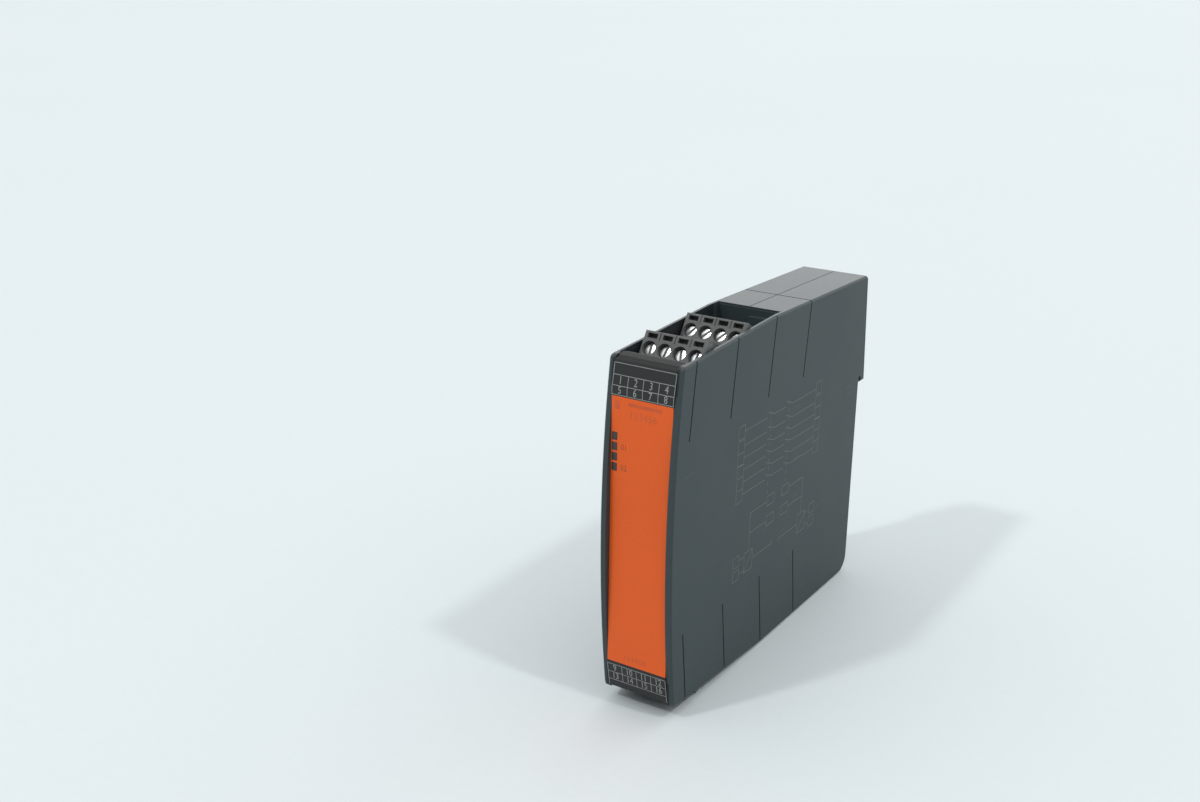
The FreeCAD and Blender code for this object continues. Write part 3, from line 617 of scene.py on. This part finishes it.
def printed_words(words, centres, place, size, squeeze):
    """Numerals laid on a surface as thin closed shells: a top, a bottom and walls along the outline.

    The walls stand on the edges that only one triangle uses. Widths are squeezed by a share.
    """
    all_points, all_faces, count = [], [], 0
    for text, centre in zip(words, centres):
        folds = [z - centre[1] for z in PANEL_FOLDS_Z if abs(z - centre[1]) < size / 2.0]
        flat, tris = text_arrays(text, size, folds)
        flat = flat * np.array([squeeze, 1.0]) + np.asarray(centre)
        edges = np.concatenate([tris[:, [0, 1]], tris[:, [1, 2]], tris[:, [2, 0]]])
        _, first, uses = np.unique(np.sort(edges, axis=1), axis=0, return_index=True, return_counts=True)
        rim = edges[first[uses == 1]]
        n = len(flat)
        points = np.concatenate([place(flat[:, 0], flat[:, 1], 0), place(flat[:, 0], flat[:, 1], 1)])
        walls = np.concatenate([np.stack([rim[:, 0], rim[:, 1], rim[:, 1] + n], axis=1),
                                np.stack([rim[:, 0], rim[:, 1] + n, rim[:, 0] + n], axis=1)])
        faces = np.concatenate([tris[:, ::-1], tris + n, walls])
        all_points.append(points)
        all_faces.append(turned_outwards(points, faces)[0] + count)
        count += len(points)
    return np.concatenate(all_points), [np.concatenate(all_faces)]


class RELAY_OT_case(bpy.types.Operator):
    """Finish of the half shells and the front cover"""
    bl_idname = "relay.case"
    bl_label = "Case and cover"

    def execute(self, context):
        paint = context.scene.relay_paint
        case = plastic("case_plastic", paint.case, roughness=0.50, grain=2300.0, mottle=46.0, span=0.07,
                       bump=0.12, rub=0.10, dust=0.05, gloss=0.30, polish=0.95,
                       shaded_bay=(BAY_HALF, BAY_FRONT, BAY_REAR))
        dress("case_left", case)
        dress("case_right", case)
        dress("front_cover", plastic("cover_plastic", paint.cover, roughness=0.42, grain=2600.0, mottle=80.0,
                                     span=0.08, bump=0.10, rub=0.06, gloss=0.32))
        return {"FINISHED"}


class RELAY_OT_label(bpy.types.Operator):
    """Finish of the orange label with its marks, the light windows and the lights behind them"""
    bl_idname = "relay.label"
    bl_label = "Label and lights"

    def execute(self, context):
        paint = context.scene.relay_paint
        marks = context.scene.relay_print
        dress("front_label", plastic("label_sheet", paint.label, roughness=0.42, grain=1900.0, mottle=38.0,
                                     span=0.035, bump=0.05, gloss=0.25))
        dress("light_guide", plastic("smoked_window", paint.window, roughness=0.22, grain=700.0, mottle=260.0,
                                     span=0.25, bump=0.06))
        dress("lights", plastic("clear_light", CLEAR_LIGHT, roughness=0.25, grain=900.0, span=0.05,
                                bump=0.05))
        place = panel_place(marks.ink)
        points, faces = printed_words(["01", "02"], LIGHT_NUMERALS_AT, place, size=marks.numeral * 0.80,
                                      squeeze=0.82)
        put_piece("light_numerals", points, faces, ink("label_ink", paint.label_print), "module")
        faint = ink("faint_ink", paint.faint_print)
        wide = flat_bars(WIDE_FIELD[:1], WIDE_FIELD[1:], WIDE_FIELD_HIGH)
        thin = flat_bars(THIN_FIELD[:1], THIN_FIELD[1:], THIN_FIELD_HIGH)
        points, faces = lift_bars(np.concatenate([wide, thin]), place)
        put_piece("label_fields", points, faces, faint, "module")
        points, faces = printed_words([COUNTING_DIGITS], LABEL_NUMBER_AT, place, size=marks.numeral * 0.98,
                                      squeeze=1.0)
        put_piece("label_number", points, faces, faint, "module")
        points, faces = printed_words([COUNTING_DIGITS], FOOT_NUMBER_AT, place, size=marks.numeral * 0.68,
                                      squeeze=1.25)
        put_piece("foot_number", points, faces, faint, "module")
        return {"FINISHED"}


class RELAY_OT_front_print(bpy.types.Operator):
    """Ruled cells and plain numerals above and below the label"""
    bl_idname = "relay.front_print"
    bl_label = "Front print"

    def execute(self, context):
        marks = context.scene.relay_print
        grey = ink("ruled_ink", context.scene.relay_paint.ruled_print)
        place = panel_place(marks.ink)
        x0 = COLUMN_X[0] - marks.line_width / 2.0
        x1 = COLUMN_X[-1] + marks.line_width / 2.0
        rows_z = np.concatenate([TOP_LINES_Z, BOTTOM_LINES_Z])
        starts = [(x0, z) for z in rows_z]
        ends = [(x1, z) for z in rows_z]
        for i, x in enumerate(COLUMN_X):
            outer = i in (0, len(COLUMN_X) - 1)
            starts += [(x, TOP_LINES_Z[0] if outer else TOP_LINES_Z[1]), (x, BOTTOM_LINES_Z[0])]
            ends += [(x, TOP_LINES_Z[-1]), (x, STRIP_END_Z if outer else BOTTOM_LINES_Z[-1])]
        starts, ends = folded(np.array(starts), np.array(ends), PANEL_FOLDS_Z)
        points, faces = lift_bars(flat_bars(starts, ends, marks.line_width), place)
        put_piece("ruled_cells", points, faces, grey, "module")
        mid_x = (COLUMN_X[:-1] + COLUMN_X[1:]) / 2.0
        top_z = (TOP_LINES_Z[1:-1] + TOP_LINES_Z[2:]) / 2.0
        low_z = (BOTTOM_LINES_Z[:-1] + BOTTOM_LINES_Z[1:]) / 2.0
        centres = [(x, z) for z in np.concatenate([top_z, low_z]) for x in mid_x]
        words = [str(i + 1) for i in range(len(centres))]
        points, faces = printed_words(words, centres, place, size=marks.numeral, squeeze=0.78)
        put_piece("cell_numerals", points, faces, grey, "module")
        return {"FINISHED"}


def box_outline(ends, middle, half):
    """Four lines round a box between two ends, half its height above and below its middle."""
    y0, y1 = ends
    z0, z1 = middle - half, middle + half
    return [((y0, z0), (y1, z0)), ((y1, z0), (y1, z1)), ((y1, z1), (y0, z1)), ((y0, z1), (y0, z0))]


def diagram_lines():
    """Wiring diagram in plain strokes: rows with open contacts, and below them coils, feet and end boxes.

    Every row runs from the left column to the right one, broken at two places by a gap with a slanted
    blade; a dashed line joins the blades of each break. Below, each half has two coils on a bus that goes
    down to a foot, which is linked inwards to a tick and outwards to two end boxes.
    """
    lines = []
    pitch = abs(DIAGRAM_ROWS_Z[0] - DIAGRAM_ROWS_Z[-1]) / (len(DIAGRAM_ROWS_Z) - 1)
    stops = [LEFT_BOX_Y[1], *BREAKS_Y.ravel(), RIGHT_BOX_Y[0]]
    for z in DIAGRAM_ROWS_Z:
        lines += box_outline(LEFT_BOX_Y, z, pitch / 2.0) + box_outline(RIGHT_BOX_Y, z, pitch / 2.0)
        lines += [((stops[k], z), (stops[k + 1], z)) for k in range(0, len(stops), 2)]
        lines += [((b[1], z), (b[0] + BLADE_SHORT, z + BLADE_RISE)) for b in BREAKS_Y]
    cuts = np.linspace(DIAGRAM_ROWS_Z[0] + BLADE_RISE, DIAGRAM_ROWS_Z[-1] - DASH_PAST, DASH_CUTS)
    for y in BREAKS_Y.mean(axis=1):
        lines += [((y, cuts[k]), (y, cuts[k + 1])) for k in range(0, DASH_CUTS - 1, 2)]
    for column, bus, coil, foot, tick in LOWER_HALVES:
        for z in COILS_Z:
            lines += box_outline(coil, z, COIL_HALF)
            lines += [((coil[0], z), (bus, z))]
        lines += [((bus, COILS_Z[0]), (bus, FOOT_Z[1]))]
        lines += box_outline(foot, FOOT_Z.mean(), np.ptp(FOOT_Z) / 2.0)
        lines += [((foot.min(), FOOT_Z[0]), (foot.max(), FOOT_Z[1]))]
        lines += [((foot[0], LINK_Z), (tick[0], LINK_Z)), ((tick[0], LINK_Z), tuple(tick))]
        for z in END_BOXES_Z:
            lines += box_outline(column, z, END_BOX_HALF)
            lines += [((column[0], z), (foot[1], z))]
    return lines


class RELAY_OT_side_print(bpy.types.Operator):
    """Faint wiring diagram on the right wall"""
    bl_idname = "relay.side_print"
    bl_label = "Side diagram"

    def execute(self, context):
        marks = context.scene.relay_print
        lines = np.array(diagram_lines())
        corners = flat_bars(lines[:, 0], lines[:, 1], marks.diagram_width, square_end=True)
        points, faces = lift_bars(corners, side_place(marks.ink))
        put_piece("side_diagram", points, faces, ink("side_ink", context.scene.relay_paint.side_print),
                  "module")
        return {"FINISHED"}


class RELAY_OT_terminals(bpy.types.Operator):
    """Finish of the plug-in blocks, their contacts and cages"""
    bl_idname = "relay.terminals"
    bl_label = "Terminal blocks"

    def execute(self, context):
        paint = context.scene.relay_paint
        block = plastic("block_plastic", paint.terminal, roughness=0.58, grain=2900.0, mottle=620.0,
                        span=0.32, bump=0.35, rub=0.05, dust=0.08)
        cage = metal("cage_plating", shade(paint.plating, 0.85)[:3], roughness=0.34, grain=1800.0)
        tin = metal("tinned_brass", TINNED_BRASS, roughness=0.32, grain=1400.0)
        black = plastic("header_plastic", HEADER_BLACK, roughness=0.5, grain=2400.0, span=0.12, bump=0.15)
        for block_name in BLOCKS:
            dress("plug_" + block_name, block)
            dress("contacts_" + block_name, tin)
            dress("header_" + block_name, black)
            for pole in range(POLES):
                dress("cage_%s_%d" % (block_name, pole + 1), cage)
        dress("header_pins", tin)
        return {"FINISHED"}


# Clamp screws

def head_surface(sizes):
    """Slotted head as a closed shell in its own frame: x across the slot, y along it, z outwards.

    Column i has its own x; along it y runs from -s to +s, where s = sqrt(R^2 - x^2). The top is
    z = -crown r^2/R^2, less a chamfer near the rim; in the slot it is a flat floor. Columns at the
    slot's two walls stand twice, high and low. The underside is the same grid at the head's low face.
    The third value tells which faces lie in the slot.
    """
    half = SLOT_WIDE / 2.0
    edge = HEAD_R * HEAD_COLUMNS
    inside = np.array([-0.5, 0.0, 0.5]) * half
    x = np.concatenate([-edge, [-half, -half], inside, [half, half], edge[::-1]])
    low = np.zeros(len(x), bool)
    low[len(edge) + 1:-len(edge) - 1] = True
    t = np.sin(np.linspace(-np.pi / 2.0, np.pi / 2.0, sizes.steps // 2))
    y = np.sqrt(HEAD_R ** 2 - x ** 2)[:, None] * t[None]
    r = np.sqrt(x[:, None] ** 2 + y ** 2)
    past = np.clip((r - (HEAD_R - sizes.chamfer)) / sizes.chamfer, 0.0, 1.0)
    top = -sizes.crown * (r / HEAD_R) ** 2 - sizes.chamfer * past
    top = np.where(low[:, None], -SLOT_DEEP, top)
    grid_x = np.broadcast_to(x[:, None], y.shape)
    upper = np.stack([grid_x, y, top], axis=-1)
    under = np.stack([grid_x, y, np.full_like(y, HEAD_TOP - HEAD_LOW)], axis=-1)
    rows, columns = y.shape
    faces = grid_faces(rows, columns)
    count = rows * columns
    a = np.arange(rows - 1) * columns
    b = a + columns - 1
    sides = [np.stack([a, a + columns, a + columns + count, a + count], axis=1),
             np.stack([b, b + count, b + columns + count, b + columns], axis=1)]
    c = np.arange(columns - 1)
    last = (rows - 1) * columns
    ends = [np.stack([c, c + count, c + 1 + count, c + 1], axis=1),
            np.stack([last + c, last + c + 1, last + c + 1 + count, last + c + count], axis=1)]
    points = np.concatenate([upper.reshape(-1, 3), under.reshape(-1, 3)])
    shell = np.concatenate([faces, faces[:, ::-1] + count] + sides + ends)
    in_slot = np.zeros(len(shell), bool)
    in_slot[:len(faces)] = np.repeat(low[:-1] | low[1:], columns - 1)
    return points, turned_outwards(points, shell), in_slot


def shank_surface(sizes):
    """Threaded shank as a closed shell: r = R - depth |2 frac(z/pitch - turn) - 1|, faded at both ends."""
    sides = sizes.steps // 2
    head = HEAD_TOP - HEAD_LOW
    high = head + SHANK_SUNK
    deep = HEAD_TOP - SHANK_LOW
    z = np.linspace(high, deep, int((high - deep) / THREAD_PITCH * THREAD_RINGS) + 1)
    turn = np.arange(sides) / sides
    wave = np.abs(2.0 * np.mod(z[:, None] / THREAD_PITCH - turn[None], 1.0) - 1.0)
    fade = np.clip((head - THREAD_START - z) / THREAD_RUN_IN, 0.0, 1.0)
    fade = fade * np.clip((z - deep) / THREAD_RUN_OUT + THREAD_LEFT, 0.0, 1.0)
    r = SHANK_R - sizes.thread_deep * wave * fade[:, None]
    angle = 2.0 * np.pi * turn
    points = np.stack([r * np.cos(angle), r * np.sin(angle), np.broadcast_to(z[:, None], r.shape)], axis=-1)
    points = points.reshape(-1, 3)
    return points, tube_blocks(points, len(z), sides)


def screw_frame(joint, level, turn):
    """Origin at the head's top, and the slot's own axes, from the joint's place and axis."""
    inward = np.array(joint["axis"], float)
    out = -inward / np.linalg.norm(inward)
    side = 1.0 if level == "top" else -1.0
    across = np.array([1.0, 0.0, 0.0])
    up = side * np.cross(out, across)
    face = np.array(joint["pos_m"], float) + out * JOINT_DEPTH
    t = math.radians(turn)
    slot_across = math.cos(t) * across + math.sin(t) * up
    slot_along = math.cos(t) * up - math.sin(t) * across
    return face - out * HEAD_TOP, np.stack([slot_across, slot_along, out])


class RELAY_OT_screws(bpy.types.Operator):
    """Slotted clamp screws with crowned heads and threaded shanks"""
    bl_idname = "relay.screws"
    bl_label = "Clamp screws"

    def execute(self, context):
        sizes = context.scene.relay_screws
        plating = context.scene.relay_paint.plating
        bright = metal("zinc_plating", plating, roughness=0.24, grain=2200.0, span=0.08, bump=0.06)
        # painted shade: the faces in the slots take a darker, rougher zinc
        slot_shade = metal("slot_painted_shade", shade(plating, 0.75)[:3], roughness=0.5, grain=1700.0, span=0.2)
        head, head_faces, in_slot = head_surface(sizes)
        shank, shank_faces = shank_surface(sizes)
        chosen = np.concatenate([in_slot, np.zeros(sum(len(block) for block in shank_faces), bool)])
        for level in LEVELS:
            for row in ROWS:
                for pole in range(POLES):
                    name = "screw_%s_%s_%d" % (level, row, pole + 1)
                    origin, axes = screw_frame(joints["turn_" + name], level, SLOT_TURNS[row][pole])
                    # mirrored axes turn the head's faces round and would mirror the thread
                    hand = np.sign(np.linalg.det(axes))
                    points = origin + np.concatenate([head, shank * (hand, 1.0, 1.0)]) @ axes
                    blocks = [block if hand > 0.0 else block[:, ::-1] for block in head_faces]
                    blocks += [block + len(head) for block in shank_faces]
                    piece = put_piece(name + "_turned", points, blocks, bright, name, HEAD_CREASE,
                                      slot_shade, chosen)
                    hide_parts(name)
        return {"FINISHED"}


class RELAY_OT_inside(bpy.types.Operator):
    """Finish of the board, relays and small parts inside the case"""
    bl_idname = "relay.inside"
    bl_label = "Board and relays"

    def execute(self, context):
        dress("main_board", board_lacquer("board_lacquer"))
        can = plastic("relay_can", RELAY_GREY, roughness=0.28, grain=1200.0, span=0.05, bump=0.06)
        dress("relay_upper", can)
        dress("relay_lower", can)
        dress("capacitor", metal("can_metal", CAN_METAL, roughness=0.35, grain=700.0))
        dress("small_parts", plastic("part_resin", RESIN_BLACK, roughness=0.55, grain=2600.0, span=0.15,
                                     bump=0.2))
        return {"FINISHED"}


def coil_surface(low, high, wire, turns):
    """Round wire along an upright helix that fills a box, as a closed shell.

    The wire's middle goes round at radius R = half the box's width less the wire's radius and rises evenly;
    its skin is a circle of that wire in the plane of the axis. One flat face closes each end.
    """
    middle = (low + high) / 2.0
    radius = (high[0] - low[0]) / 2.0 - wire
    share = np.linspace(0.0, 1.0, turns * COIL_STEPS + 1)[:, None]
    turn = 2.0 * np.pi * turns * share
    skin = 2.0 * np.pi * np.arange(COIL_SIDES)[None] / COIL_SIDES
    r = radius + wire * np.cos(skin)
    z = low[2] + wire + (high[2] - low[2] - 2.0 * wire) * share + wire * np.sin(skin)
    points = np.stack([middle[0] + r * np.cos(turn), middle[1] + r * np.sin(turn), z], axis=-1).reshape(-1, 3)
    return points, tube_blocks(points, len(share), COIL_SIDES)


class RELAY_OT_latch(bpy.types.Operator):
    """Finish of the rail latch, and its coil spring, made once at its rest length although it shortens as the
    latch slides
    """
    bl_idname = "relay.latch"
    bl_label = "Rail latch"

    def execute(self, context):
        dress("rail_latch", plastic("latch_plastic", LATCH_BLACK, roughness=0.42, grain=2100.0, span=0.1,
                                    bump=0.15, rub=0.12))
        wire = metal("spring_wire", SPRING_STEEL, roughness=0.3, grain=1100.0)
        low, high = (np.array(corner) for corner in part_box("latch_spring"))
        points, blocks = coil_surface(low, high, SPRING_WIRE, SPRING_TURNS)
        coil = put_piece("latch_spring_coil", points, blocks, wire, "module", COIL_CREASE)
        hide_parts("latch_spring")
        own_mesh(coil)
        return {"FINISHED"}


# Stage

def set_up(name, data, place, right, up):
    """New lamp or camera at a place, turned by its right and up axes."""
    thing = bpy.data.objects.new(name, data)
    bpy.context.scene.collection.objects.link(thing)
    turn = np.eye(4)
    turn[:3] = np.stack([right, up, np.cross(right, up), place], axis=1)
    thing.matrix_world = Matrix(turn.tolist())
    return thing


def distant_lamp(name, place, power, wide):
    """Lamp so far away that its light is even, of some angle, shining from a place to the module's middle."""
    data = bpy.data.lights.new(name, "SUN")
    data.angle = wide
    data.energy = power
    back = np.array(place) - (0.0, 0.0, MID_Z + STAND)
    back = back / np.linalg.norm(back)
    right = np.cross((0.0, 0.0, 1.0), back)
    right = right / np.linalg.norm(right)
    set_up(name, data, place, right, np.cross(back, right))


def room_light(scene, stage):
    """Soft room: dim at floor level, bright overhead, with a lit wall behind.

    The camera, metal and glass see it even, as bright as it is overhead.
    """
    world = bpy.data.worlds.new("room")
    scene.world = world
    world.use_nodes = True
    tree = world.node_tree
    towards = tree.nodes.new("ShaderNodeTexCoord").outputs["Generated"]
    way = add_node(tree, "ShaderNodeSeparateXYZ", {0: towards}).outputs
    ceiling = ramp(tree, way["Z"], *CEILING_RISE, stage.horizon, stage.zenith, "SMOOTHSTEP")
    wall = ramp(tree, way["Y"], *WALL_RISE, 0.0, stage.wall, "SMOOTHSTEP")
    path = tree.nodes.new("ShaderNodeLightPath").outputs
    mirrored = calc(tree, "MAXIMUM", path["Is Glossy Ray"], path["Is Transmission Ray"])
    shown = calc(tree, "MAXIMUM", path["Is Camera Ray"], mirrored)
    strength = mix_numbers(tree, shown, calc(tree, "ADD", ceiling, wall), stage.zenith)
    sky = tree.nodes["Background"]
    sky.inputs["Color"].default_value = ROOM_TINT
    tree.links.new(strength, sky.inputs["Strength"])


class RELAY_OT_stage(bpy.types.Operator):
    """Pale floor, soft lamps and the camera"""
    bl_idname = "relay.stage"
    bl_label = "Stage"

    def execute(self, context):
        scene = context.scene
        stage = scene.relay_stage
        # one large square just under the module as it rests, on its lower rear blocks and rear foot
        corner = np.array([-FLOOR_REACH, FLOOR_REACH])
        x, y = np.meshgrid(corner, corner)
        points = np.stack([x, y, REST_SLOPE * (y - REST_Y) - FLOOR_GAP], axis=-1).reshape(-1, 3)
        mesh = bpy.data.meshes.new("floor")
        mesh.from_pydata(points.tolist(), [], grid_faces(2, 2).tolist())
        mesh.materials.append(plastic("floor_paper", stage.floor, roughness=0.75, grain=420.0, mottle=1.6,
                                      span=0.012, bump=0.0, gloss=0.2))
        floor = bpy.data.objects.new("floor", mesh)
        scene.collection.objects.link(floor)

        room_light(scene, stage)
        distant_lamp("front_lamp", FRONT_LAMP_AT, stage.key, FRONT_LAMP_WIDE)
        distant_lamp("right_lamp", RIGHT_LAMP_AT, stage.fill, RIGHT_LAMP_WIDE)

        data = bpy.data.cameras.new("camera")
        data.sensor_fit = "HORIZONTAL"
        data.sensor_width = SENSOR_WIDE
        data.lens = stage.lens
        data.clip_start, data.clip_end = CAMERA_CLIP
        scene.camera = set_up("camera", data, CAMERA_AT, CAMERA_RIGHT, CAMERA_UP)
        scene.view_settings.view_transform = "Standard"
        return {"FINISHED"}


class RELAY_PT_module(bpy.types.Panel):
    """Sizes, colours and steps of the relay module"""
    bl_idname = "RELAY_PT_module"
    bl_label = "Relay module"
    bl_space_type = "VIEW_3D"
    bl_region_type = "UI"
    bl_category = "Relay module"

    def draw(self, context):
        for group in GROUPS:
            values = getattr(context.scene, group)
            column = self.layout.column(align=True)
            for key in values.bl_rna.properties.keys():
                if key not in ("rna_type", "name"):
                    column.prop(values, key)
        for step in STEPS:
            self.layout.operator(step.bl_idname)


GROUPS = {"relay_paint": RelayPaint, "relay_print": RelayPrint, "relay_screws": RelayScrews,
          "relay_stage": RelayStage}
STEPS = (RELAY_OT_case, RELAY_OT_label, RELAY_OT_front_print, RELAY_OT_side_print, RELAY_OT_terminals,
         RELAY_OT_screws, RELAY_OT_inside, RELAY_OT_latch, RELAY_OT_stage)


def register():
    for name, group in GROUPS.items():
        bpy.utils.register_class(group)
        setattr(bpy.types.Scene, name, PointerProperty(type=group))
    for step in STEPS:
        bpy.utils.register_class(step)
    bpy.utils.register_class(RELAY_PT_module)


def unregister():
    bpy.utils.unregister_class(RELAY_PT_module)
    for step in reversed(STEPS):
        bpy.utils.unregister_class(step)
    for name, group in GROUPS.items():
        delattr(bpy.types.Scene, name)
        bpy.utils.unregister_class(group)


def main():
    register()
    bpy.ops.relay.case()
    bpy.ops.relay.label()
    bpy.ops.relay.front_print()
    bpy.ops.relay.side_print()
    bpy.ops.relay.terminals()
    bpy.ops.relay.screws()
    bpy.ops.relay.inside()
    bpy.ops.relay.latch()
    bpy.ops.relay.stage()


if __name__ == "__main__":
    main()
